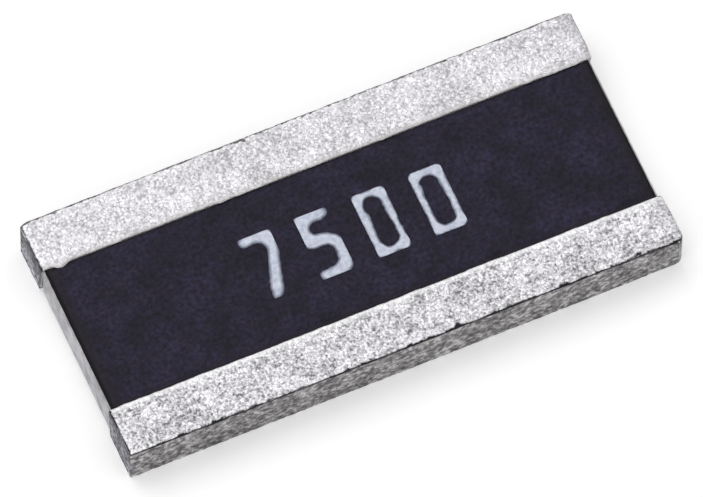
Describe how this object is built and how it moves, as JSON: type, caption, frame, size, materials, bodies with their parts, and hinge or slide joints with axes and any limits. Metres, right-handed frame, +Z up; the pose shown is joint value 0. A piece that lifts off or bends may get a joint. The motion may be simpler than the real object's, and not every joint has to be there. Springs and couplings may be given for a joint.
{
  "type": "chip resistor",
  "caption": "Wide-terminal chip resistor: ceramic plate, dark protective coat with a plain number, and a matt tin cap along each long side.",
  "frame": {"origin": "middle of the footprint, on the plane of the two solder pads", "axes": "+X along the two long terminals, +Y from the front terminal to the rear one, +Z up out of the marked face"},
  "size_m": [0.0064, 0.003, 0.0005],
  "materials": {
    "ceramic": "fired, matt",
    "electrode_silver": "fired thick film",
    "resistive_film": "fired thick film",
    "glass_coat": "fired glass frit",
    "overcoat": "printed epoxy, matt",
    "side_silver": "cured silver paste",
    "nickel": "plated",
    "tin": "matt, granular plating",
    "ink": "printed ink"
  },
  "bodies": {
    "root": {"ceramic_substrate": "ceramic", "top_electrode_front": "electrode_silver", "top_electrode_rear": "electrode_silver", "bottom_electrode_front": "electrode_silver", "bottom_electrode_rear": "electrode_silver", "resistive_film": "resistive_film", "glass_precoat": "glass_coat", "protective_overcoat": "overcoat", "side_electrode_front": "side_silver", "side_electrode_rear": "side_silver", "nickel_barrier_front": "nickel", "nickel_barrier_rear": "nickel", "tin_plating_front": "tin", "tin_plating_rear": "tin", "marking_digit_1": "ink", "marking_digit_2": "ink", "marking_digit_3": "ink", "marking_digit_4": "ink"}
  },
  "joints": []
}
